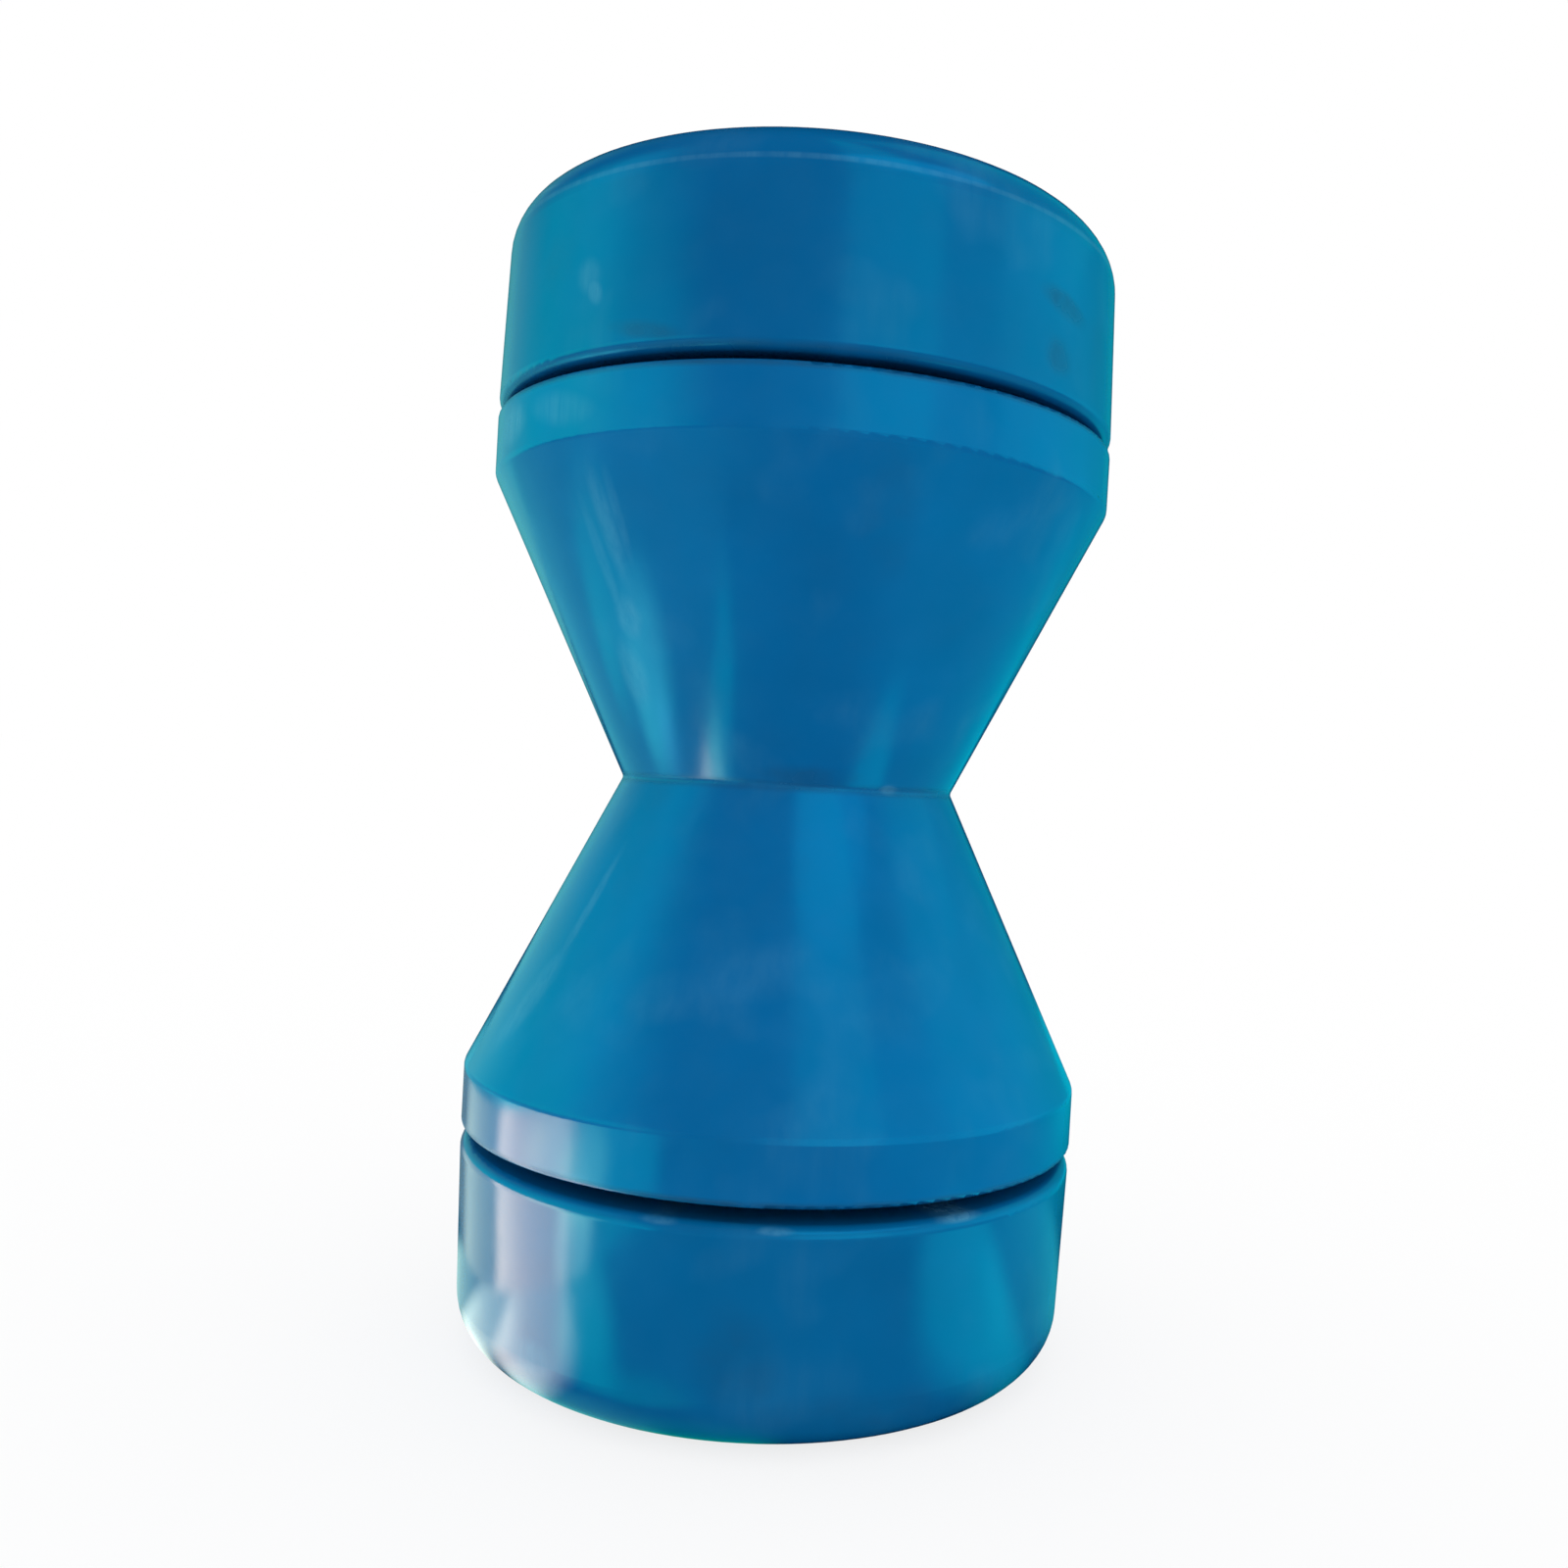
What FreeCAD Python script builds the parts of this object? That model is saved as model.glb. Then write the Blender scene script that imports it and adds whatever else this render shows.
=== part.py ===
import FreeCAD, Part
import math
import os

# Boat trailer bow roller with two end bells, standing on its lower bell.
# Millimetres. The turning axis is +Z and the origin is the middle of the foot face.
# Three moulded pieces: an hourglass roller and a bell over each of its ends.

# The pin that all three pieces turn on, and the bore that takes it
pin_diameter = 16.0
pin_clearance = 0.5
bore_mouth_chamfer = 1.0
hub_wall = 9.0

# The hourglass roller
end_diameter = 91.0
waist_diameter = 49.6
roller_length = 101.6
band_height = 8.3
band_edge_radius = 0.6
band_corner_radius = 2.0
waist_fillet_radius = 0.8
roller_wall = 8.5
roller_core_tip_width = 9.0

# The end bells
bell_height = 29.2
bell_side_draft = 1.6
bell_shoulder_radius = 7.5
bell_rim_edge_radius = 1.5
bell_side_wall = 8.5
bell_web = 8.5
dish_depth = 1.5
dish_border = 3.0
dish_corner_radius = 1.2

# The open seams between the rims of the bells and the ends of the roller
lower_seam = 2.2
upper_seam = 1.2

# The cored pockets in the hidden inner faces, with ribs left between them
rib_count = 8
rib_thickness = 6.0
core_draft = 1.0
core_floor_radius = 3.0

# Worked out from the sizes above
bore_radius = pin_diameter / 2 + pin_clearance
hub_radius = bore_radius + hub_wall
end_radius = end_diameter / 2
waist_radius = waist_diameter / 2
half_length = roller_length / 2
cone_height = half_length - band_height
cone_slope = (end_radius - waist_radius) / cone_height
core_slope = math.tan(math.radians(core_draft))
lower_bell_hub = bell_height + lower_seam
roller_top = lower_bell_hub + roller_length
upper_bell_top = roller_top + upper_seam + bell_height

origin = FreeCAD.Vector(0, 0, 0)
turning_axis = FreeCAD.Vector(0, 0, 1)
cross_axis = FreeCAD.Vector(1, 0, 0)


def outline(corners):
    """Closed face in the XZ plane; a corner is (distance from the axis, height, rounding)."""
    points = [FreeCAD.Vector(radius, 0, height) for radius, height, rounding in corners]
    arrivals = []
    departures = []
    edges = []
    for index, (radius, height, rounding) in enumerate(corners):
        point = points[index]
        back = (points[index - 1] - point).normalize()
        ahead = (points[(index + 1) % len(points)] - point).normalize()
        half_angle = back.getAngle(ahead) / 2
        reach = rounding / math.tan(half_angle)
        arrivals.append(point + back * reach)
        departures.append(point + ahead * reach)
        if rounding > 0:
            inwards = (back + ahead).normalize()
            middle = point + inwards * (rounding / math.sin(half_angle) - rounding)
            edges.append(Part.Arc(arrivals[-1], middle, departures[-1]).toShape())
    for index, departure in enumerate(departures):
        arrival = arrivals[(index + 1) % len(arrivals)]
        edges.append(Part.LineSegment(departure, arrival).toShape())
    return Part.Face(Part.Wire(Part.__sortEdges__(edges)))


def turned(corners):
    """Solid of revolution of an outline about the turning axis."""
    return outline(corners).revolve(origin, turning_axis, 360)


def pin_bore(low, high):
    """Cutter for the pin's bore, with a chamfer at both of its mouths."""
    mouth_radius = bore_radius + bore_mouth_chamfer
    return turned([
        (0, low, 0),
        (mouth_radius, low, 0),
        (bore_radius, low + bore_mouth_chamfer, 0),
        (bore_radius, high - bore_mouth_chamfer, 0),
        (mouth_radius, high, 0),
        (0, high, 0),
    ])


def pocket_between_ribs(corners):
    """One pocket of a cored ring, its mouth at height zero, between two straight ribs."""
    ring = turned(corners)
    half_pitch = math.pi / rib_count
    tip = rib_thickness / 2 / math.sin(half_pitch)
    far_x = tip + 2 * end_radius * math.cos(half_pitch)
    far_y = 2 * end_radius * math.sin(half_pitch)
    sector_outline = Part.makePolygon([
        FreeCAD.Vector(tip, 0, 0),
        FreeCAD.Vector(far_x, -far_y, 0),
        FreeCAD.Vector(far_x, far_y, 0),
        FreeCAD.Vector(tip, 0, 0),
    ])
    sector = Part.Face(sector_outline).extrude(turning_axis * ring.BoundBox.ZMax)
    return ring.common(sector)


def ring_of(pocket):
    """The pocket repeated around the axis, once between each pair of ribs."""
    pockets = []
    for index in range(rib_count):
        pockets.append(pocket.rotated(origin, turning_axis, index * 360 / rib_count))
    return Part.makeCompound(pockets)


def make_roller():
    """Hourglass with a straight band at each end, its middle at the origin."""
    body = turned([
        (0, -half_length, 0),
        (end_radius, -half_length, band_edge_radius),
        (end_radius, -cone_height, band_corner_radius),
        (waist_radius, 0, waist_fillet_radius),
        (end_radius, cone_height, band_corner_radius),
        (end_radius, half_length, band_edge_radius),
        (0, half_length, 0),
    ])

    # The pocket's outer side keeps one wall behind the band and behind the cone.
    # It ends where the space left beside the hub has narrowed to the width of the tip.
    mouth_radius = end_radius - roller_wall
    cone_wall = roller_wall * math.hypot(1, cone_slope)
    cone_mouth_radius = end_radius - cone_wall + band_height * cone_slope
    turn_depth = (cone_mouth_radius - mouth_radius) / (cone_slope - core_slope)
    turn_radius = mouth_radius - turn_depth * core_slope
    tip_depth = (cone_mouth_radius - hub_radius - roller_core_tip_width) / (cone_slope + core_slope)
    tip_radius = hub_radius + tip_depth * core_slope
    pocket = pocket_between_ribs([
        (hub_radius, 0, 0),
        (mouth_radius, 0, 0),
        (turn_radius, turn_depth, core_floor_radius),
        (tip_radius + roller_core_tip_width, tip_depth, core_floor_radius),
        (tip_radius, tip_depth, core_floor_radius),
    ])
    lower_pockets = ring_of(pocket).translated(turning_axis * -half_length)
    upper_pockets = lower_pockets.rotated(origin, cross_axis, 180)
    return body.cut([lower_pockets, upper_pockets, pin_bore(-half_length, half_length)])


def make_bell(seam):
    """Bell standing on its outer face, open upwards, its hub proud of its rim by the seam."""
    side_slope = math.tan(math.radians(bell_side_draft))
    foot_corner_radius = end_radius - bell_height * side_slope
    dish_edge_radius = foot_corner_radius - bell_shoulder_radius - dish_border
    hub_height = bell_height + seam
    body = turned([
        (0, 0, 0),
        (hub_radius, 0, dish_corner_radius),
        (hub_radius + dish_depth, dish_depth, dish_corner_radius),
        (dish_edge_radius - dish_depth, dish_depth, dish_corner_radius),
        (dish_edge_radius, 0, dish_corner_radius),
        (foot_corner_radius, 0, bell_shoulder_radius),
        (end_radius, bell_height, bell_rim_edge_radius),
        (hub_radius, bell_height, 0),
        (hub_radius, hub_height, 0),
        (0, hub_height, 0),
    ])

    mouth_radius = end_radius - bell_side_wall
    core_depth = bell_height - bell_web
    pocket = pocket_between_ribs([
        (hub_radius, 0, 0),
        (mouth_radius, 0, 0),
        (mouth_radius - core_depth * core_slope, core_depth, core_floor_radius),
        (hub_radius + core_depth * core_slope, core_depth, core_floor_radius),
    ])
    pockets = ring_of(pocket).rotated(origin, cross_axis, 180).translated(turning_axis * bell_height)
    return body.cut([pockets, pin_bore(0, hub_height)])


def write_part(name, shape):
    """One solid to one file, named for the piece."""
    shape.exportStep("parts/" + name + ".step")


os.makedirs("parts", exist_ok=True)
roller = make_roller().translated(turning_axis * (lower_bell_hub + half_length))
lower_bell = make_bell(lower_seam)
upper_bell = make_bell(upper_seam).rotated(origin, cross_axis, 180).translated(turning_axis * upper_bell_top)
write_part("roller", roller)
write_part("lower_bell", lower_bell)
write_part("upper_bell", upper_bell)
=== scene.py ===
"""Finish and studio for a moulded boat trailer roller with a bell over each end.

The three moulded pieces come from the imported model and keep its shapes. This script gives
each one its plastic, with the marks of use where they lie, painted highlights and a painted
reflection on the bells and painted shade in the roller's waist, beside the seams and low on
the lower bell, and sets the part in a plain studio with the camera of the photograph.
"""

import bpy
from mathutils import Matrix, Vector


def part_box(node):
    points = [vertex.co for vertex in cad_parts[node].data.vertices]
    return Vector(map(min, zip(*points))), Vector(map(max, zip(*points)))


bl_info = {
    "name": "Boat Trailer Roller",
    "version": (1, 0, 0),
    "blender": (4, 5, 0),
    "location": "3D View > Sidebar > Roller",
    "description": "Finishes a moulded boat trailer roller and sets it in a plain studio",
    "category": "Object",
}

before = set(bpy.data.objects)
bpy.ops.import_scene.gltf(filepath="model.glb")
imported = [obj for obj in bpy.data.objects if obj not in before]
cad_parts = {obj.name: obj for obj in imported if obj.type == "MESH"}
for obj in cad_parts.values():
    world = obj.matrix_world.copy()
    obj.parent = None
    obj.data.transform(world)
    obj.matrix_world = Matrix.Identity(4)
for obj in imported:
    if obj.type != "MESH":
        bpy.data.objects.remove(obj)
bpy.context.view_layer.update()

import math
from collections import namedtuple

import bmesh
import bpy
from mathutils import Matrix, Vector

MM = 0.001
IMAGE_SIDE = 1600
SENSOR_WIDTH = 36.0
GROUND_GAP = 0.2 * MM

# The turning axis is Z. Azimuths run from the camera's side, positive to the right.
ROLLER_FOOT, ROLLER_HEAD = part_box("roller")
MIDDLE = (ROLLER_FOOT.z + ROLLER_HEAD.z) / 2
END_RADIUS = (ROLLER_HEAD.x - ROLLER_FOOT.x) / 2

# A mark of this half width runs all round without fading
ALL_ROUND = 40 * END_RADIUS / MM

# An oval keeps its full strength up to its core and is gone a little past its size
MARK_CORE = 0.35
RIM_SPREAD = 0.3

# Most of a noise texture's values lie between these two
NOISE_LOW = 0.3
NOISE_HIGH = 0.7

# Each pattern fades in between two values of its noise, some from a faintest strength above none
STRAND_NOISE = (0.30, 0.62)
STRAND_FAINTEST = 0.35
RUB_NOISE = (0.54, 0.72)
RING_NOISE = (0.4, 0.65)
SMUDGE_AND_SHADE_NOISE = (0.3, 0.6)
SMUDGE_AND_SHADE_FAINTEST = 0.4

# Width of a strand in a pale mark, as a share of its length along the axis
STRAND_SQUEEZE = 0.12

# How far handling varies the roughness, and how much a full mark adds to it
HANDLING = 0.03
MARK_DULLING = 0.4


def linear(sheet_colour):
    """Linear colour of an sRGB hex value."""
    channels = [int(sheet_colour[i:i + 2], 16) / 255 for i in (1, 3, 5)]
    return tuple(c / 12.92 if c <= 0.04045 else ((c + 0.055) / 1.055) ** 2.4 for c in channels)


# A mark on a piece: its azimuth in degrees and its height over the roller's middle, its half
# width around the piece and half height in millimetres, its lean in degrees and its strength
Mark = namedtuple("Mark", "azimuth height half_width half_height lean strength")

ROLLER_SCUFFS = (
    # Streaks and patches down the left of the upper cone
    Mark(-37, 32, 2.0, 8.0, 6, 0.14),
    Mark(-41, 28, 1.4, 9.0, 6, 0.10),
    Mark(-34, 33, 1.2, 6.0, 3, 0.09),
    Mark(-38, 21, 3.5, 3.0, 20, 0.20),
    Mark(-42, 14, 4.0, 5.0, 0, 0.16),
    # Patches at the left of the upper band
    Mark(-43, 46.4, 7.0, 2.4, -10, 0.13),
    Mark(-60, 46.6, 5.0, 3.0, 0, 0.28),
    # Streaks down the left of the lower cone
    Mark(-56, -31, 3.0, 9.0, -30, 0.14),
    Mark(-50, -18, 1.5, 9.0, -14, 0.12),
    # A fleck at the right of the waist
    Mark(35, 0.2, 3.0, 0.8, 0, 0.30),
)
ROLLER_SMUDGES_AND_SHADE = (
    # Painted shade in the crease of the waist and on the edges beside the seams
    Mark(0, 0.0, ALL_ROUND, 0.9, 0, 0.30),
    Mark(0, 50.6, ALL_ROUND, 0.8, 0, 0.50),
    Mark(0, -50.6, ALL_ROUND, 0.8, 0, 0.50),
    # Faint shades over the waist and on the upper cone
    Mark(8, 1.4, 14, 1.6, 0, 0.25),
    Mark(16, 35, 5.0, 10.0, 10, 0.10),
)
UPPER_BELL_SCUFFS_AND_HIGHLIGHTS = (
    # A painted highlight along the fine line round the shoulder, and a paler painted highlight above it at
    # the left
    Mark(0, 75.2, ALL_ROUND, 0.45, 0, 0.12),
    Mark(-60, 77.4, 9.0, 0.5, -6, 0.30),
    # A rubbed spot at the left of the side
    Mark(-36.5, 60.4, 1.3, 2.2, 30, 0.22),
    Mark(-38, 62.5, 2.2, 2.6, 30, 0.12),
)
UPPER_BELL_SMUDGES_AND_SHADE = (
    # Painted shade along the seam, and grease in patches at the left of the side
    Mark(-30, 52.3, 62, 0.9, 0, 0.30),
    Mark(-26, 54.6, 6.0, 1.3, -10, 0.30),
    Mark(-46, 66, 4.0, 5.0, 0, 0.12),
    # Dark marks at the right of the side
    Mark(47.5, 64.6, 5.6, 1.9, -10, 0.62),
    Mark(46, 57.5, 3.2, 2.8, 0, 0.38),
    Mark(60, 60, 4.0, 9.0, 0, 0.12),
)
LOWER_BELL_HIGHLIGHTS_AND_REFLECTION = (
    # A painted reflection on the shoulder, and painted highlights along the rim
    Mark(-39, -74.5, 5.0, 2.6, 0, 0.20),
    Mark(34.5, -53.2, 4.0, 0.6, 0, 0.35),
    Mark(2.8, -53.5, 2.6, 0.5, 0, 0.22),
    Mark(-15.5, -53.3, 2.6, 0.5, 0, 0.16),
)
LOWER_BELL_PAINTED_SHADE = (
    # Painted shade low on the side and on the shoulder above the floor
    Mark(-2, -70, 6.0, 7.0, 0, 0.16),
    Mark(20, -76, 18.0, 3.0, 0, 0.14),
)

# A soft-edged patch of light that only gloss sees: its place, half width and half height, its
# lean in degrees, the share of its size at full strength, its brightness, where 1 is white, and
# its colour
Panel = namedtuple("Panel", "across up half_width half_height lean core brightness colour")

# Places on the light tent are an azimuth and an elevation in degrees
TENT_PANELS = (
    Panel(-140, -20, 28, 72, 0, 0.2, 1.0, "#80FFF2"),
    Panel(-84, -20, 52, 75, 0, 0.45, 2.2, "#00FFEB"),
    Panel(-80, 10, 19, 16, 0, 0.4, 0.75, "#00FF50"),
    Panel(-80, 42, 19, 20, 0, 0.4, 1.0, "#00D5FF"),
    Panel(-50, 10, 19, 16, 0, 0.4, 0.95, "#00FFE8"),
    Panel(28, 42, 19, 72, 0, 0.85, 1.1, "#00FCFF"),
    Panel(42, 51, 38, 11, 0, 0.85, 2.45, "#00CCFF"),
    Panel(64, -5, 71, 53, 0, 0.37, 1.9, "#00E8FF"),
    Panel(101, 32, 29, 9, 0, 0.85, 0.35, "#00FFED"),
    Panel(114, 12, 46, 95, 0, 0.85, 0.5, "#18F8FF"),
)

# Places on the ground are millimetres to the right and away from the camera's side
GROUND_PANELS = (
    Panel(-60, -38, 32, 15, 8, 0.7, 6.6, "#FFE2CC"),
    Panel(-56, -18, 22, 14, 0, 0.5, 3.1, "#F0FFEC"),
    Panel(-56, 8, 18, 22, 0, 0.4, 1.0, "#D0FFF0"),
    Panel(-56, -57, 32, 12, 20, 0.5, 3.5, "#00FFE8"),
    Panel(-24, -35, 15, 7, -34, 0.4, 0.7, "#70FFF5"),
    Panel(-34, -32, 8, 7, -45, 0.4, 1.0, "#C8FFF5"),
    Panel(-6, -41, 11, 6, -8, 0.5, 0.45, "#00FFD6"),
    Panel(-22, -52, 14, 8, -20, 0.5, 1.3, "#00FFE2"),
    Panel(-142, -22, 24, 18, 0, 0.4, 1.7, "#7AC7FF"),
    Panel(-180, -20, 50, 60, 0, 0.5, 3.75, "#5FFFF5"),
    Panel(-280, 30, 80, 110, 0, 0.5, 1.6, "#00FFF0"),
    Panel(-600, 350, 900, 380, -60, 0.8, 1.0, "#68F4F4"),
    Panel(82, -48, 52, 28, -25, 0.6, 2.2, "#00FAFF"),
    Panel(88, 2, 46, 40, 0, 0.6, 0.6, "#40F4FB"),
    Panel(540, 440, 360, 900, -22, 0.8, 0.9, "#00F1FF"),
)

# Places on the card are millimetres away from the camera's side and above the ground
CARD_PANELS = (
    Panel(-35, 15, 19, 60, 0, 0.8, 7.4, "#FFD8C2"),
    Panel(-56, 6, 10, 14, 0, 0.6, 5.0, "#DAFFDF"),
    Panel(-60, 18, 16, 11, 0, 0.5, 3.7, "#B2FFCD"),
    Panel(-44, 24, 16, 8, 0, 0.4, 3.0, "#F5FFD3"),
    Panel(-68, 15, 16, 60, 0, 0.4, 2.2, "#00FFF6"),
    Panel(-98, 15, 24, 60, 0, 0.4, 2.6, "#00FFF9"),
    Panel(-6, 15, 24, 60, 0, 0.5, 1.6, "#E8FFE8"),
    Panel(42, 15, 55, 60, 0, 0.5, 0.28, "#D8FFF4"),
)


def add_node(tree, kind, settings=(), links=()):
    """A new node with its settings and with links of (own input, source socket)."""
    node = tree.nodes.new(kind)
    for name, value in dict(settings).items():
        if name in node.inputs.keys() or isinstance(name, int):
            node.inputs[name].default_value = value
        else:
            setattr(node, name, value)
    for name, source in dict(links).items():
        tree.links.new(source, node.inputs[name])
    return node


def new_material(name):
    """An empty node material and its node tree."""
    material = bpy.data.materials.new(name)
    material.use_nodes = True
    material.node_tree.nodes.clear()
    return material, material.node_tree


def soft_patch(tree, position, centre, half_size, lean, core, strength):
    """Strength of an oval with a soft rim about a centre, on a flat pair of coordinates."""
    place = add_node(tree, "ShaderNodeMapping", {
        "vector_type": "TEXTURE",
        "Location": (*centre, 0),
        "Rotation": (0, 0, math.radians(lean)),
        "Scale": (*half_size, 1),
    }, {"Vector": position})
    reach = add_node(tree, "ShaderNodeVectorMath", {"operation": "LENGTH"}, {0: place.outputs[0]})
    fade = add_node(tree, "ShaderNodeMapRange", {
        "interpolation_type": "SMOOTHSTEP",
        "From Min": core,
        "From Max": 1 + (1 - core) * RIM_SPREAD,
        "To Min": strength,
        "To Max": 0.0,
    }, {"Value": reach.outputs["Value"]})
    return fade.outputs[0]


def turned_coordinates(tree, position):
    """Azimuth in radians and the separated coordinates of a position about the axis."""
    parts = add_node(tree, "ShaderNodeSeparateXYZ", links={0: position})
    front = add_node(tree, "ShaderNodeMath", {"operation": "MULTIPLY", 1: -1.0}, {0: parts.outputs["Y"]})
    azimuth = add_node(tree, "ShaderNodeMath", {"operation": "ARCTAN2"},
                       {0: parts.outputs["X"], 1: front.outputs[0]})
    return azimuth.outputs[0], parts


def unrolled(tree, position):
    """Millimetres around the piece, at its end radius, and over the roller's middle."""
    azimuth, parts = turned_coordinates(tree, position)
    around = add_node(tree, "ShaderNodeMath", {"operation": "MULTIPLY", 1: END_RADIUS / MM}, {0: azimuth})
    height = add_node(tree, "ShaderNodeMath", {"operation": "MULTIPLY_ADD", 1: 1 / MM, 2: -MIDDLE / MM},
                      {0: parts.outputs["Z"]})
    flat = add_node(tree, "ShaderNodeCombineXYZ", links={"X": around.outputs[0], "Y": height.outputs[0]})
    return flat.outputs[0]


def marked(tree, flat, marks):
    """The strongest of several marks at each point."""
    strongest = None
    for mark in marks:
        centre = (math.radians(mark.azimuth) * END_RADIUS / MM, mark.height)
        patch = soft_patch(tree, flat, centre, (mark.half_width, mark.half_height), mark.lean,
                           MARK_CORE, mark.strength)
        if strongest is None:
            strongest = patch
        else:
            strongest = add_node(tree, "ShaderNodeMath", {"operation": "MAXIMUM"},
                                 {0: strongest, 1: patch}).outputs[0]
    return strongest


def clouded(tree, position, colour, plastic):
    """Body colour with slight clouds, about a finger wide."""
    clouds = add_node(tree, "ShaderNodeTexNoise", {
        "Scale": 1 / plastic.cloud_size, "Detail": 3.0, "Roughness": 0.55,
    }, {"Vector": position})
    shade = add_node(tree, "ShaderNodeMapRange", {"From Min": NOISE_LOW, "From Max": NOISE_HIGH},
                     {"Value": clouds.outputs[0]})
    body = add_node(tree, "ShaderNodeMix", {
        "data_type": "RGBA",
        6: (*[c * (1 - plastic.cloud_depth) for c in colour], 1),
        7: (*[c * (1 + plastic.cloud_depth) for c in colour], 1),
    }, {0: shade.outputs[0]})
    return body.outputs[2]


def scuffing_and_highlights(tree, position, flat, marks, plastic):
    """Strength of the pale marks: the placed ones, rubbed places and painted highlights, and faint rubbing
    scattered all over.
    """
    # Coordinates squeezed along the axis stretch the noise into strands that run that way
    along_axis = add_node(tree, "ShaderNodeMapping", {"Scale": (1, 1, STRAND_SQUEEZE)},
                          {"Vector": position})
    strands = add_node(tree, "ShaderNodeTexNoise", {
        "Scale": 1 / plastic.scuff_and_highlight_width, "Detail": 4.0, "Roughness": 0.6,
    }, {"Vector": along_axis.outputs[0]})
    broken = add_node(tree, "ShaderNodeMapRange", {
        "From Min": STRAND_NOISE[0], "From Max": STRAND_NOISE[1], "To Min": STRAND_FAINTEST, "To Max": 1.0,
    }, {"Value": strands.outputs[0]})
    placed = add_node(tree, "ShaderNodeMath", {"operation": "MULTIPLY"},
                      {0: marked(tree, flat, marks), 1: broken.outputs[0]})
    zones = add_node(tree, "ShaderNodeTexNoise", {"Scale": 1 / plastic.rub_size, "Detail": 2.0},
                     {"Vector": position})
    rubbed = add_node(tree, "ShaderNodeMapRange", {
        "From Min": RUB_NOISE[0], "From Max": RUB_NOISE[1], "To Max": plastic.rub_strength,
    }, {"Value": zones.outputs[0]})
    scattered = add_node(tree, "ShaderNodeMath", {"operation": "MULTIPLY"},
                         {0: rubbed.outputs[0], 1: broken.outputs[0]})
    both = add_node(tree, "ShaderNodeMath", {"operation": "MAXIMUM"},
                    {0: placed.outputs[0], 1: scattered.outputs[0]})
    return both.outputs[0]


def rubbed_rings(tree, position, face_height, plastic):
    """Fine rings on a bell's flat outer face, where the cheek of the bracket rubs it."""
    parts = add_node(tree, "ShaderNodeSeparateXYZ", links={0: position})
    level = add_node(tree, "ShaderNodeMath", {"operation": "SUBTRACT", 1: face_height},
                     {0: parts.outputs["Z"]})
    depth = add_node(tree, "ShaderNodeMath", {"operation": "ABSOLUTE"}, {0: level.outputs[0]})
    flush = add_node(tree, "ShaderNodeMapRange", {
        "From Min": 0.0, "From Max": plastic.ring_reach, "To Min": plastic.ring_strength, "To Max": 0.0,
    }, {"Value": depth.outputs[0]})
    plan = add_node(tree, "ShaderNodeVectorMath", {"operation": "MULTIPLY", 1: (1, 1, 0)}, {0: position})
    radius = add_node(tree, "ShaderNodeVectorMath", {"operation": "LENGTH"}, {0: plan.outputs[0]})
    across = add_node(tree, "ShaderNodeMath", {"operation": "MULTIPLY", 1: 1 / plastic.ring_width},
                      {0: radius.outputs["Value"]})
    # The bearing is a pair of numbers, so that the rings close without a seam
    bearing = add_node(tree, "ShaderNodeVectorMath", {"operation": "NORMALIZE"}, {0: plan.outputs[0]})
    sides = add_node(tree, "ShaderNodeSeparateXYZ", links={0: bearing.outputs[0]})
    turned = add_node(tree, "ShaderNodeCombineXYZ", links={
        "X": across.outputs[0], "Y": sides.outputs["X"], "Z": sides.outputs["Y"],
    })
    rings = add_node(tree, "ShaderNodeTexNoise", {"Scale": 1.0, "Detail": 2.0},
                     {"Vector": turned.outputs[0]})
    fine = add_node(tree, "ShaderNodeMapRange", {"From Min": RING_NOISE[0], "From Max": RING_NOISE[1]},
                    {"Value": rings.outputs[0]})
    return add_node(tree, "ShaderNodeMath", {"operation": "MULTIPLY"},
                    {0: flush.outputs[0], 1: fine.outputs[0]}).outputs[0]


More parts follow.
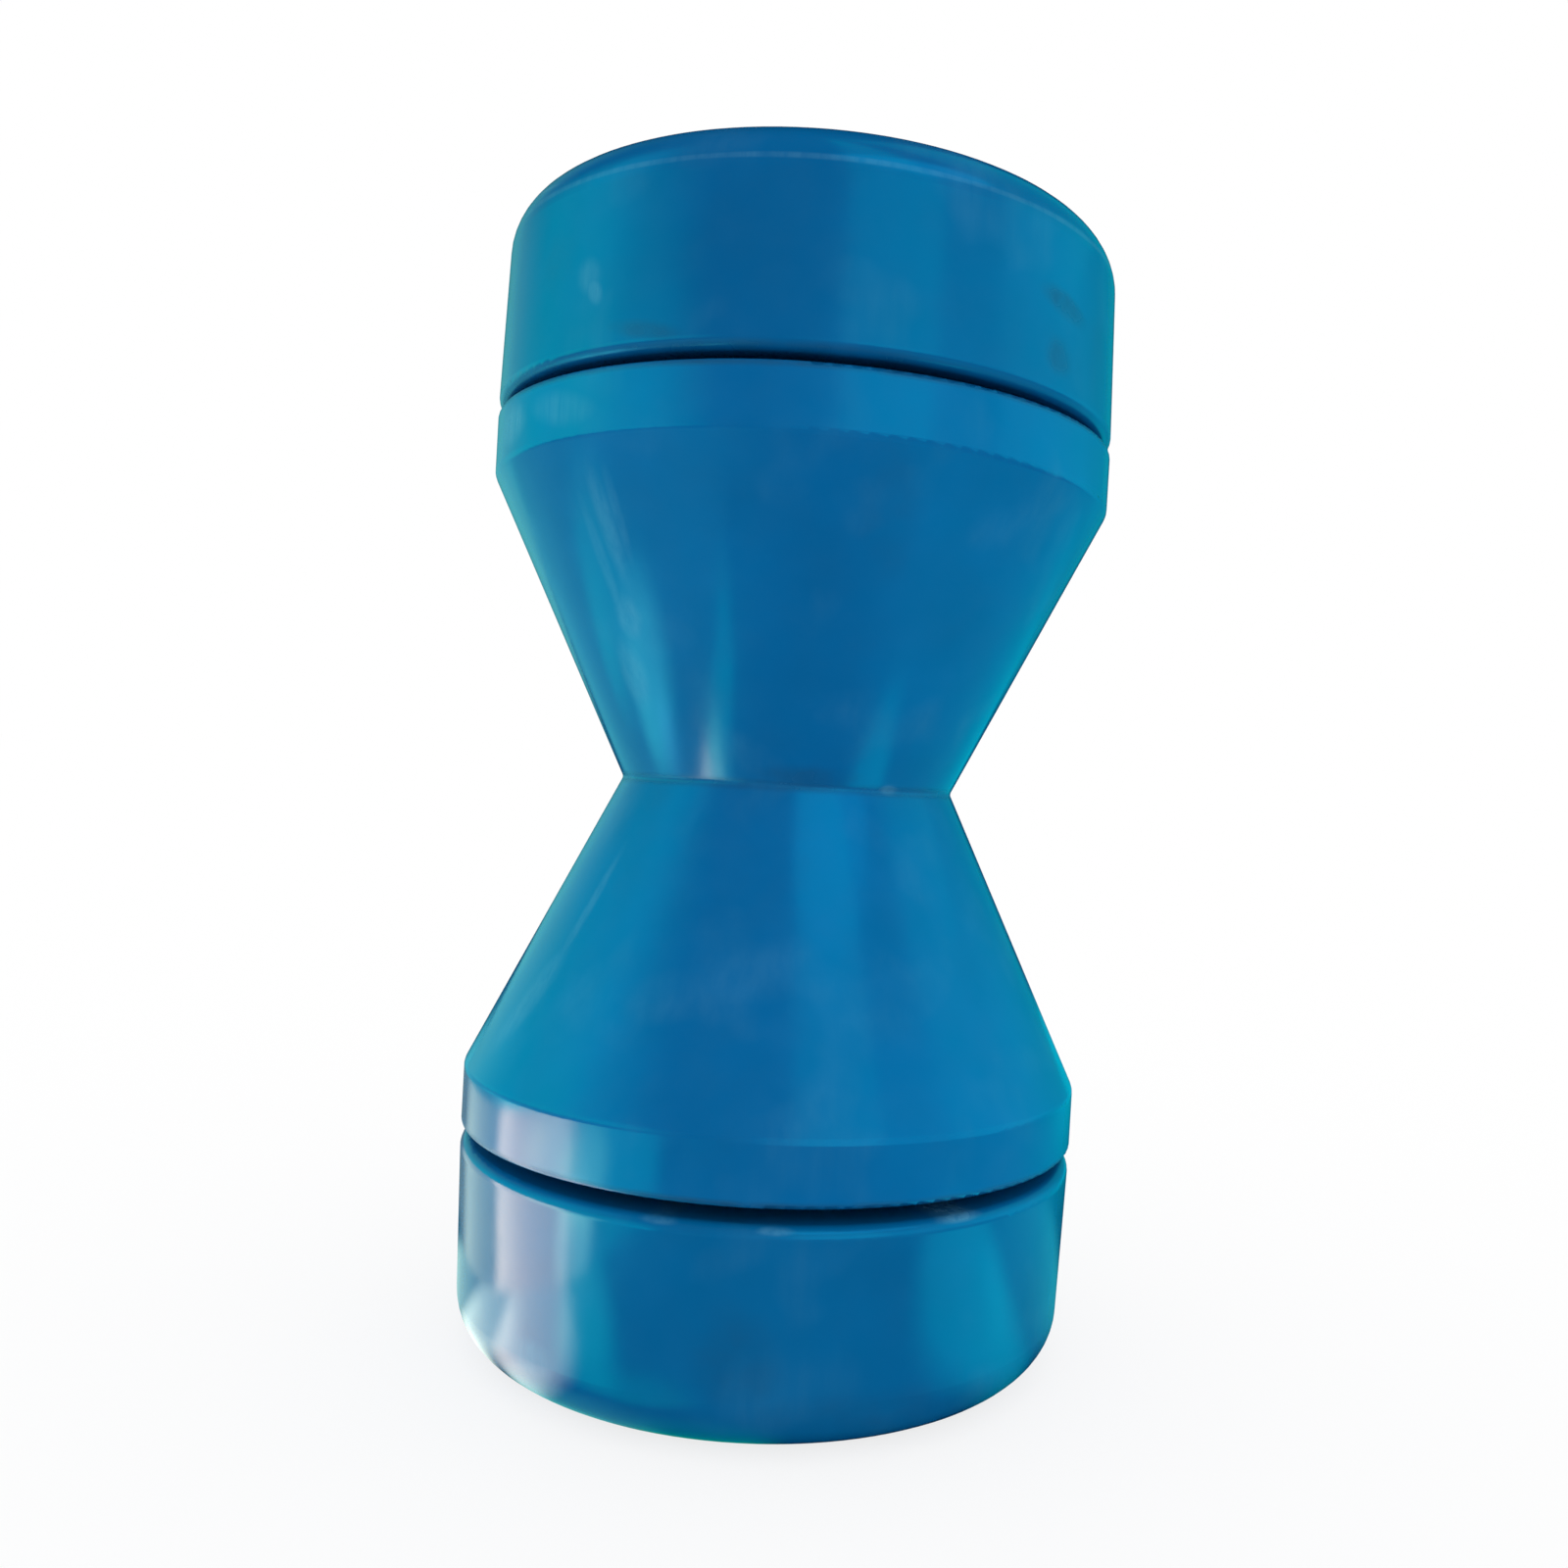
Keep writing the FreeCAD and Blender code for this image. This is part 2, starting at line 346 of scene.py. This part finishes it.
def moulded_polyethylene(name, colour, scuffs_and_highlights, smudges_and_shade, plastic, outer_face=None):
    """Blue polyethylene, coloured through and injection moulded in a polished steel mould.

    It has a satin gloss, a faint orange peel, slow waves where thick walls shrank, slight
    clouds in its colour, pale marks where it was rubbed, dark grease, and on some pieces
    painted highlights, a painted reflection and painted shade.
    """
    material, tree = new_material(name)
    position = add_node(tree, "ShaderNodeTexCoord").outputs["Object"]
    flat = unrolled(tree, position)

    scuff_and_highlight = scuffing_and_highlights(tree, position, flat, scuffs_and_highlights, plastic)
    if outer_face is not None:
        rings = rubbed_rings(tree, position, outer_face, plastic)
        scuff_and_highlight = add_node(tree, "ShaderNodeMath", {"operation": "MAXIMUM"}, {0: scuff_and_highlight, 1: rings}).outputs[0]
    scuffed_and_highlighted = add_node(tree, "ShaderNodeMix", {"data_type": "RGBA", 7: (*plastic.scuff_and_highlight_colour, 1)},
                       {0: scuff_and_highlight, 6: clouded(tree, position, colour, plastic)})

    # Grease and painted shade, with uneven edges
    uneven = add_node(tree, "ShaderNodeTexNoise", {
        "Scale": 1 / plastic.smudge_and_shade_size, "Detail": 3.0, "Roughness": 0.5,
    }, {"Vector": position})
    spread = add_node(tree, "ShaderNodeMapRange", {
        "From Min": SMUDGE_AND_SHADE_NOISE[0], "From Max": SMUDGE_AND_SHADE_NOISE[1], "To Min": SMUDGE_AND_SHADE_FAINTEST, "To Max": 1.0,
    }, {"Value": uneven.outputs[0]})
    smudge_and_shade = add_node(tree, "ShaderNodeMath", {"operation": "MULTIPLY"},
                      {0: marked(tree, flat, smudges_and_shade), 1: spread.outputs[0]})
    dirty_and_shaded = add_node(tree, "ShaderNodeMix", {"data_type": "RGBA", 7: (*plastic.smudge_and_shade_colour, 1)},
                     {0: smudge_and_shade.outputs[0], 6: scuffed_and_highlighted.outputs[2]})

    # The gloss is uneven with handling, and duller on rubbed places, grease and the painted highlights and
    # shade
    handled = add_node(tree, "ShaderNodeMapRange", {
        "From Min": NOISE_LOW, "From Max": NOISE_HIGH,
        "To Min": plastic.roughness - HANDLING, "To Max": plastic.roughness + HANDLING,
    }, {"Value": uneven.outputs[0]})
    marks = add_node(tree, "ShaderNodeMath", {"operation": "ADD"}, {0: scuff_and_highlight, 1: smudge_and_shade.outputs[0]})
    dull = add_node(tree, "ShaderNodeMath", {"operation": "MULTIPLY_ADD", 1: MARK_DULLING},
                    {0: marks.outputs[0], 2: handled.outputs[0]})

    # Orange peel on slow waves
    peel = add_node(tree, "ShaderNodeTexNoise", {"Scale": 1 / plastic.peel_size, "Detail": 2.0},
                    {"Vector": position})
    waves = add_node(tree, "ShaderNodeTexNoise", {"Scale": 1 / plastic.wave_size, "Detail": 1.0},
                     {"Vector": position})
    wavy = add_node(tree, "ShaderNodeBump", {"Strength": 1.0, "Distance": plastic.wave_depth},
                    {"Height": waves.outputs[0]})
    grained = add_node(tree, "ShaderNodeBump", {"Strength": 1.0, "Distance": plastic.peel_depth},
                       {"Height": peel.outputs[0], "Normal": wavy.outputs[0]})

    shader = add_node(tree, "ShaderNodeBsdfPrincipled", {
        "IOR": plastic.ior, "Specular Tint": (*plastic.gloss_tint, 1),
    }, {
        "Base Color": dirty_and_shaded.outputs[2],
        "Roughness": dull.outputs[0],
        "Normal": grained.outputs[0],
    })
    add_node(tree, "ShaderNodeOutputMaterial", links={"Surface": shader.outputs["BSDF"]})
    return material


def finish_node(name, material):
    """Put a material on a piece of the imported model."""
    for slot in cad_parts[name].material_slots:
        slot.material = material


def seen_as_white(tree):
    """Factor of 1 for the camera, and for what shows in gloss or through glass."""
    path = add_node(tree, "ShaderNodeLightPath")
    mirror = add_node(tree, "ShaderNodeMath", {"operation": "MAXIMUM"},
                      {0: path.outputs["Is Camera Ray"], 1: path.outputs["Is Glossy Ray"]})
    glass = add_node(tree, "ShaderNodeMath", {"operation": "MAXIMUM"},
                     {0: mirror.outputs[0], 1: path.outputs["Is Transmission Ray"]})
    return glass.outputs[0]


def make_world(studio):
    """Even white light from all round and a white background, neither of which shows in gloss."""
    world = bpy.data.worlds.new("studio_white")
    world.use_nodes = True
    tree = world.node_tree
    tree.nodes.clear()
    light = add_node(tree, "ShaderNodeBackground", {"Color": (1, 1, 1, 1), "Strength": studio.daylight})
    white = add_node(tree, "ShaderNodeBackground", {"Color": (1, 1, 1, 1), "Strength": 1.0})
    mix = add_node(tree, "ShaderNodeMixShader", links={
        0: seen_as_white(tree), 1: light.outputs[0], 2: white.outputs[0],
    })
    add_node(tree, "ShaderNodeOutputWorld", links={"Surface": mix.outputs[0]})
    bpy.context.scene.world = world
    world.cycles_visibility.glossy = False


def stage_object(name, bm, material):
    """A mesh of the stage, made from a bmesh, with its material."""
    mesh = bpy.data.meshes.new(name)
    bm.to_mesh(mesh)
    bm.free()
    mesh.materials.append(material)
    piece = bpy.data.objects.new(name, mesh)
    bpy.context.scene.collection.objects.link(piece)
    return piece


def make_floor(studio):
    """A wide floor of pale paper that the camera sees as white, with the part's faint shadow."""
    material, tree = new_material("matt_white_paper")
    albedo = sum(studio.floor_colour) / 3
    lit = add_node(tree, "ShaderNodeBsdfDiffuse", {"Color": (*studio.floor_colour, 1)})
    # What the lit paper lacks is made up, so that the open floor is exactly white
    rest = (1 - (1 - studio.floor_glow) * albedo) / studio.floor_glow
    white = add_node(tree, "ShaderNodeEmission", {"Strength": rest})
    share = add_node(tree, "ShaderNodeMath", {"operation": "MULTIPLY", 1: studio.floor_glow},
                     {0: seen_as_white(tree)})
    mix = add_node(tree, "ShaderNodeMixShader", links={
        0: share.outputs[0], 1: lit.outputs[0], 2: white.outputs[0],
    })
    add_node(tree, "ShaderNodeOutputMaterial", links={"Surface": mix.outputs[0]})
    bm = bmesh.new()
    bmesh.ops.create_grid(bm, x_segments=1, y_segments=1, size=studio.floor_reach)
    floor = stage_object("floor", bm, material)
    floor.visible_glossy = False


def panel_light(tree, flat, panels):
    """Colour of the light from all the panels at each point of a flat pair of coordinates."""
    total = None
    for panel in panels:
        centre = (panel.across, panel.up)
        half_size = (panel.half_width, panel.half_height)
        patch = soft_patch(tree, flat, centre, half_size, panel.lean, panel.core, panel.brightness)
        light = add_node(tree, "ShaderNodeVectorMath",
                         {"operation": "MULTIPLY_ADD", 1: linear(panel.colour), 2: (0, 0, 0)}, {0: patch})
        if total is not None:
            tree.links.new(total, light.inputs[2])
        total = light.outputs[0]
    return total


def seen_in_gloss_only(name, bm, material):
    """A stage object that glows in the part's gloss and shows nowhere else."""
    screen = stage_object(name, bm, material)
    screen.visible_camera = False
    screen.visible_diffuse = False
    screen.visible_transmission = False
    screen.visible_shadow = False


def make_tent(studio):
    """A light tent round the part, with soft panels on a dark cloth."""
    material, tree = new_material("light_tent_cloth")
    position = add_node(tree, "ShaderNodeTexCoord").outputs["Object"]
    centred = add_node(tree, "ShaderNodeMapping", {
        "vector_type": "TEXTURE", "Location": (0, 0, MIDDLE), "Scale": [studio.tent_radius] * 3,
    }, {"Vector": position})
    azimuth, parts = turned_coordinates(tree, centred.outputs[0])
    elevation = add_node(tree, "ShaderNodeMath", {"operation": "ARCSINE"}, {0: parts.outputs["Z"]})
    flat = add_node(tree, "ShaderNodeCombineXYZ", links={"X": azimuth, "Y": elevation.outputs[0]})
    degrees = add_node(tree, "ShaderNodeVectorMath", {"operation": "SCALE", "Scale": math.degrees(1)},
                       {0: flat.outputs[0]})
    glow = add_node(tree, "ShaderNodeEmission", links={
        "Color": panel_light(tree, degrees.outputs[0], TENT_PANELS),
    })
    add_node(tree, "ShaderNodeOutputMaterial", links={"Surface": glow.outputs[0]})
    bm = bmesh.new()
    bmesh.ops.create_uvsphere(bm, u_segments=96, v_segments=48, radius=studio.tent_radius)
    bmesh.ops.translate(bm, verts=bm.verts, vec=(0, 0, MIDDLE))
    bmesh.ops.reverse_faces(bm, faces=bm.faces)
    seen_in_gloss_only("light_tent", bm, material)


def make_ground_light(studio):
    """The ground as the part's gloss sees it: sunlit at the left and in shade in front."""
    material, tree = new_material("sunlit_ground")
    position = add_node(tree, "ShaderNodeTexCoord").outputs["Object"]
    flat = add_node(tree, "ShaderNodeMapping", {"Scale": (1 / MM, 1 / MM, 0)}, {"Vector": position})
    glow = add_node(tree, "ShaderNodeEmission", links={
        "Color": panel_light(tree, flat.outputs[0], GROUND_PANELS),
    })
    add_node(tree, "ShaderNodeOutputMaterial", links={"Surface": glow.outputs[0]})
    bm = bmesh.new()
    bmesh.ops.create_grid(bm, x_segments=1, y_segments=1, size=2 * studio.tent_radius)
    bmesh.ops.translate(bm, verts=bm.verts, vec=(0, 0, -GROUND_GAP))
    seen_in_gloss_only("ground_light", bm, material)


def make_side_card(studio):
    """A low white card, stood up in the sun at the left, as the part's gloss sees it."""
    material, tree = new_material("sunlit_card")
    parts = add_node(tree, "ShaderNodeSeparateXYZ", links={
        0: add_node(tree, "ShaderNodeTexCoord").outputs["Object"],
    })
    flat = add_node(tree, "ShaderNodeCombineXYZ", links={"X": parts.outputs["Y"], "Y": parts.outputs["Z"]})
    millimetres = add_node(tree, "ShaderNodeVectorMath", {"operation": "SCALE", "Scale": 1 / MM},
                           {0: flat.outputs[0]})
    glow = add_node(tree, "ShaderNodeEmission", links={
        "Color": panel_light(tree, millimetres.outputs[0], CARD_PANELS),
    })
    add_node(tree, "ShaderNodeOutputMaterial", links={"Surface": glow.outputs[0]})
    bm = bmesh.new()
    bmesh.ops.create_grid(bm, x_segments=1, y_segments=1, size=0.5)
    bmesh.ops.scale(bm, verts=bm.verts, vec=(studio.card_height, studio.card_length, 1))
    bmesh.ops.rotate(bm, verts=bm.verts, matrix=Matrix.Rotation(math.radians(90), 3, "Y"))
    bmesh.ops.translate(bm, verts=bm.verts, vec=(-studio.card_distance, 0, studio.card_height / 2))
    seen_in_gloss_only("side_card", bm, material)


def make_camera(studio):
    """The photograph's camera: its place is given from the roller's middle."""
    camera = bpy.data.cameras.new("camera")
    camera.sensor_width = SENSOR_WIDTH
    camera.lens = studio.lens
    camera.shift_x = studio.shift_right / IMAGE_SIDE
    camera.shift_y = studio.shift_up / IMAGE_SIDE
    camera.clip_start = 0.005
    camera.clip_end = 200
    holder = bpy.data.objects.new("camera", camera)
    bpy.context.scene.collection.objects.link(holder)
    turn = Matrix.Rotation(studio.pan, 3, "Z")
    turn = turn @ Matrix.Rotation(math.radians(90) + studio.tilt, 3, "X")
    turn = turn @ Matrix.Rotation(studio.roll, 3, "Z")
    holder.rotation_euler = turn.to_euler()
    holder.location = Vector(studio.camera_place) + Vector((0, 0, MIDDLE))
    bpy.context.scene.camera = holder


class PlasticSettings(bpy.types.PropertyGroup):
    """Colour, gloss and texture of the moulded polyethylene."""

    roller_colour: bpy.props.FloatVectorProperty(
        name="Roller colour", description="Body colour of the hourglass roller",
        subtype="COLOR", size=3, min=0, max=1, default=linear("#0067A4"))
    upper_bell_colour: bpy.props.FloatVectorProperty(
        name="Upper bell colour", description="Body colour of the upper bell, a little deeper",
        subtype="COLOR", size=3, min=0, max=1, default=linear("#00609A"))
    lower_bell_colour: bpy.props.FloatVectorProperty(
        name="Lower bell colour", description="Body colour of the lower bell, a little deeper",
        subtype="COLOR", size=3, min=0, max=1, default=linear("#00659E"))
    # This pale colour paints rubbed places, and also painted highlights and a painted reflection on the
    # bells
    scuff_and_highlight_colour: bpy.props.FloatVectorProperty(
        name="Scuff colour", description="Pale colour of rubbed polyethylene",
        subtype="COLOR", size=3, min=0, max=1, default=linear("#6FB6D2"))
    # This dark colour paints grease, and also painted shade in the waist, beside the seams and low on the
    # lower bell
    smudge_and_shade_colour: bpy.props.FloatVectorProperty(
        name="Smudge colour", description="Dark colour of grease on the plastic",
        subtype="COLOR", size=3, min=0, max=1, default=linear("#022C50"))
    ior: bpy.props.FloatProperty(
        name="Refractive index", description="How strongly the surface reflects",
        min=1, max=2, default=1.45)
    gloss_tint: bpy.props.FloatVectorProperty(
        name="Gloss tint", description="Colour of the gloss, a little blue, as the photograph shows it",
        subtype="COLOR", size=3, min=0, max=1, default=linear("#BCF0FF"))
    roughness: bpy.props.FloatProperty(
        name="Roughness", description="Dullness of the satin gloss", subtype="FACTOR",
        min=0, max=1, default=0.17)
    cloud_size: bpy.props.FloatProperty(
        name="Cloud size", description="Width of the clouds in the colour", unit="LENGTH",
        default=18 * MM)
    cloud_depth: bpy.props.FloatProperty(
        name="Cloud depth", description="How far the clouds change the colour", subtype="FACTOR",
        min=0, max=1, default=0.06)
    scuff_and_highlight_width: bpy.props.FloatProperty(
        name="Scuff strands", description="Width of the strands in a scuff", unit="LENGTH",
        default=1.6 * MM)
    smudge_and_shade_size: bpy.props.FloatProperty(
        name="Smudge unevenness", description="Width of the lobes of a smudge", unit="LENGTH",
        default=5 * MM)
    rub_size: bpy.props.FloatProperty(
        name="Rubbed zones", description="Distance between the zones that are faintly rubbed",
        unit="LENGTH", default=14 * MM)
    rub_strength: bpy.props.FloatProperty(
        name="Rubbing", description="Strength of the faint rubbing all over", subtype="FACTOR",
        min=0, max=1, default=0.05)
    ring_width: bpy.props.FloatProperty(
        name="Ring width", description="Width of a rubbed ring on a bell's outer face",
        unit="LENGTH", default=0.7 * MM)
    ring_reach: bpy.props.FloatProperty(
        name="Ring reach", description="Depth under the outer face at which the rubbing ends",
        unit="LENGTH", default=0.5 * MM)
    ring_strength: bpy.props.FloatProperty(
        name="Ring strength", description="Strength of the rubbed rings", subtype="FACTOR",
        min=0, max=1, default=0.35)
    peel_size: bpy.props.FloatProperty(
        name="Orange peel size", description="Width of a grain, coarser than the real 0.3 mm to show",
        unit="LENGTH", default=0.9 * MM)
    peel_depth: bpy.props.FloatProperty(
        name="Orange peel depth", description="Height of a grain", unit="LENGTH", precision=6,
        default=0.006 * MM)
    wave_size: bpy.props.FloatProperty(
        name="Wave size", description="Width of the slow waves of shrinkage", unit="LENGTH",
        default=16 * MM)
    wave_depth: bpy.props.FloatProperty(
        name="Wave depth", description="Height of the slow waves of shrinkage", unit="LENGTH", precision=5,
        default=0.12 * MM)


class StudioSettings(bpy.types.PropertyGroup):
    """Camera, floor and light of the studio."""

    camera_place: bpy.props.FloatVectorProperty(
        name="Camera place", description="Place of the camera, from the roller's middle",
        subtype="TRANSLATION", unit="LENGTH", size=3, default=(3.35 * MM, -206.7 * MM, 0.88 * MM))
    pan: bpy.props.FloatProperty(
        name="Pan", description="Turn of the camera to the left", subtype="ANGLE",
        default=math.radians(-1.461))
    tilt: bpy.props.FloatProperty(
        name="Tilt", description="Turn of the camera upwards", subtype="ANGLE",
        default=math.radians(-0.848))
    roll: bpy.props.FloatProperty(
        name="Roll", description="Turn of the camera about its own line of sight", subtype="ANGLE",
        default=math.radians(3.266))
    lens: bpy.props.FloatProperty(
        name="Lens", description="Focal length in millimetres on a 36 mm wide sensor",
        default=31.0)
    shift_right: bpy.props.FloatProperty(
        name="Shift right", description="Shift of the frame to the right, in pixels of 1600", default=-60)
    shift_up: bpy.props.FloatProperty(
        name="Shift up", description="Shift of the frame upwards, in pixels of 1600", default=19.2)
    daylight: bpy.props.FloatProperty(
        name="Daylight", description="Strength of the even light, where 1 shows colours as written",
        min=0, default=1.0)
    floor_colour: bpy.props.FloatVectorProperty(
        name="Floor colour", description="Colour of the paper floor",
        subtype="COLOR", size=3, min=0, max=1, default=linear("#E8E8E8"))
    floor_glow: bpy.props.FloatProperty(
        name="Floor glow", description="Share of plain white in the floor that the camera sees",
        subtype="FACTOR", min=0, max=1, default=0.75)
    floor_reach: bpy.props.FloatProperty(
        name="Floor reach", description="Half the side of the floor", unit="LENGTH", default=40.0)
    tent_radius: bpy.props.FloatProperty(
        name="Tent radius", description="Radius of the light tent", unit="LENGTH", default=1.5)
    card_distance: bpy.props.FloatProperty(
        name="Card distance", description="Distance of the side card from the turning axis",
        unit="LENGTH", default=66 * MM)
    card_height: bpy.props.FloatProperty(
        name="Card height", description="Height of the side card", unit="LENGTH", default=30 * MM)
    card_length: bpy.props.FloatProperty(
        name="Card length", description="Length of the side card", unit="LENGTH", default=300 * MM)


class OBJECT_OT_finish_roller(bpy.types.Operator):
    """Give the hourglass roller its moulded plastic with its rubbed places, grease and painted shade"""

    bl_idname = "object.finish_trailer_roller"
    bl_label = "Finish the Roller"
    bl_options = {"REGISTER", "UNDO"}

    def execute(self, context):
        plastic = context.scene.roller_plastic
        material = moulded_polyethylene("moulded_blue_polyethylene_roller", plastic.roller_colour,
                                        ROLLER_SCUFFS, ROLLER_SMUDGES_AND_SHADE, plastic)
        finish_node("roller", material)
        return {"FINISHED"}


class OBJECT_OT_finish_bells(bpy.types.Operator):
    """Give the two end bells their moulded plastic with their rubbed places, grease, painted highlights, a
    painted reflection and painted shade
    """

    bl_idname = "object.finish_trailer_roller_bells"
    bl_label = "Finish the Bells"
    bl_options = {"REGISTER", "UNDO"}

    def execute(self, context):
        plastic = context.scene.roller_plastic
        upper = moulded_polyethylene("moulded_blue_polyethylene_upper_bell", plastic.upper_bell_colour,
                                     UPPER_BELL_SCUFFS_AND_HIGHLIGHTS, UPPER_BELL_SMUDGES_AND_SHADE, plastic,
                                     outer_face=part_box("upper_bell")[1].z)
        finish_node("upper_bell", upper)
        lower = moulded_polyethylene("moulded_blue_polyethylene_lower_bell", plastic.lower_bell_colour,
                                     LOWER_BELL_HIGHLIGHTS_AND_REFLECTION, LOWER_BELL_PAINTED_SHADE, plastic,
                                     outer_face=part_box("lower_bell")[0].z)
        finish_node("lower_bell", lower)
        return {"FINISHED"}


class OBJECT_OT_set_studio(bpy.types.Operator):
    """Set the floor, the even light, what the gloss sees and the camera"""

    bl_idname = "object.set_trailer_roller_studio"
    bl_label = "Set the Studio"
    bl_options = {"REGISTER", "UNDO"}

    def execute(self, context):
        studio = context.scene.roller_studio
        make_world(studio)
        make_floor(studio)
        make_tent(studio)
        make_ground_light(studio)
        make_side_card(studio)
        make_camera(studio)
        context.scene.view_settings.view_transform = "Standard"
        return {"FINISHED"}


STEPS = (OBJECT_OT_finish_roller, OBJECT_OT_finish_bells, OBJECT_OT_set_studio)


class VIEW3D_PT_trailer_roller(bpy.types.Panel):
    """Settings and steps of the boat trailer roller"""

    bl_idname = "VIEW3D_PT_trailer_roller"
    bl_label = "Boat Trailer Roller"
    bl_space_type = "VIEW_3D"
    bl_region_type = "UI"
    bl_category = "Roller"

    def draw(self, context):
        for group in (context.scene.roller_plastic, context.scene.roller_studio):
            column = self.layout.column()
            for name in group.__annotations__:
                column.prop(group, name)
        for step in STEPS:
            self.layout.operator(step.bl_idname)


CLASSES = (PlasticSettings, StudioSettings, *STEPS, VIEW3D_PT_trailer_roller)


def register():
    for cls in CLASSES:
        bpy.utils.register_class(cls)
    bpy.types.Scene.roller_plastic = bpy.props.PointerProperty(type=PlasticSettings)
    bpy.types.Scene.roller_studio = bpy.props.PointerProperty(type=StudioSettings)


def unregister():
    del bpy.types.Scene.roller_studio
    del bpy.types.Scene.roller_plastic
    for cls in reversed(CLASSES):
        bpy.utils.unregister_class(cls)


def main():
    register()
    bpy.ops.object.finish_trailer_roller()
    bpy.ops.object.finish_trailer_roller_bells()
    bpy.ops.object.set_trailer_roller_studio()


if __name__ == "__main__":
    main()
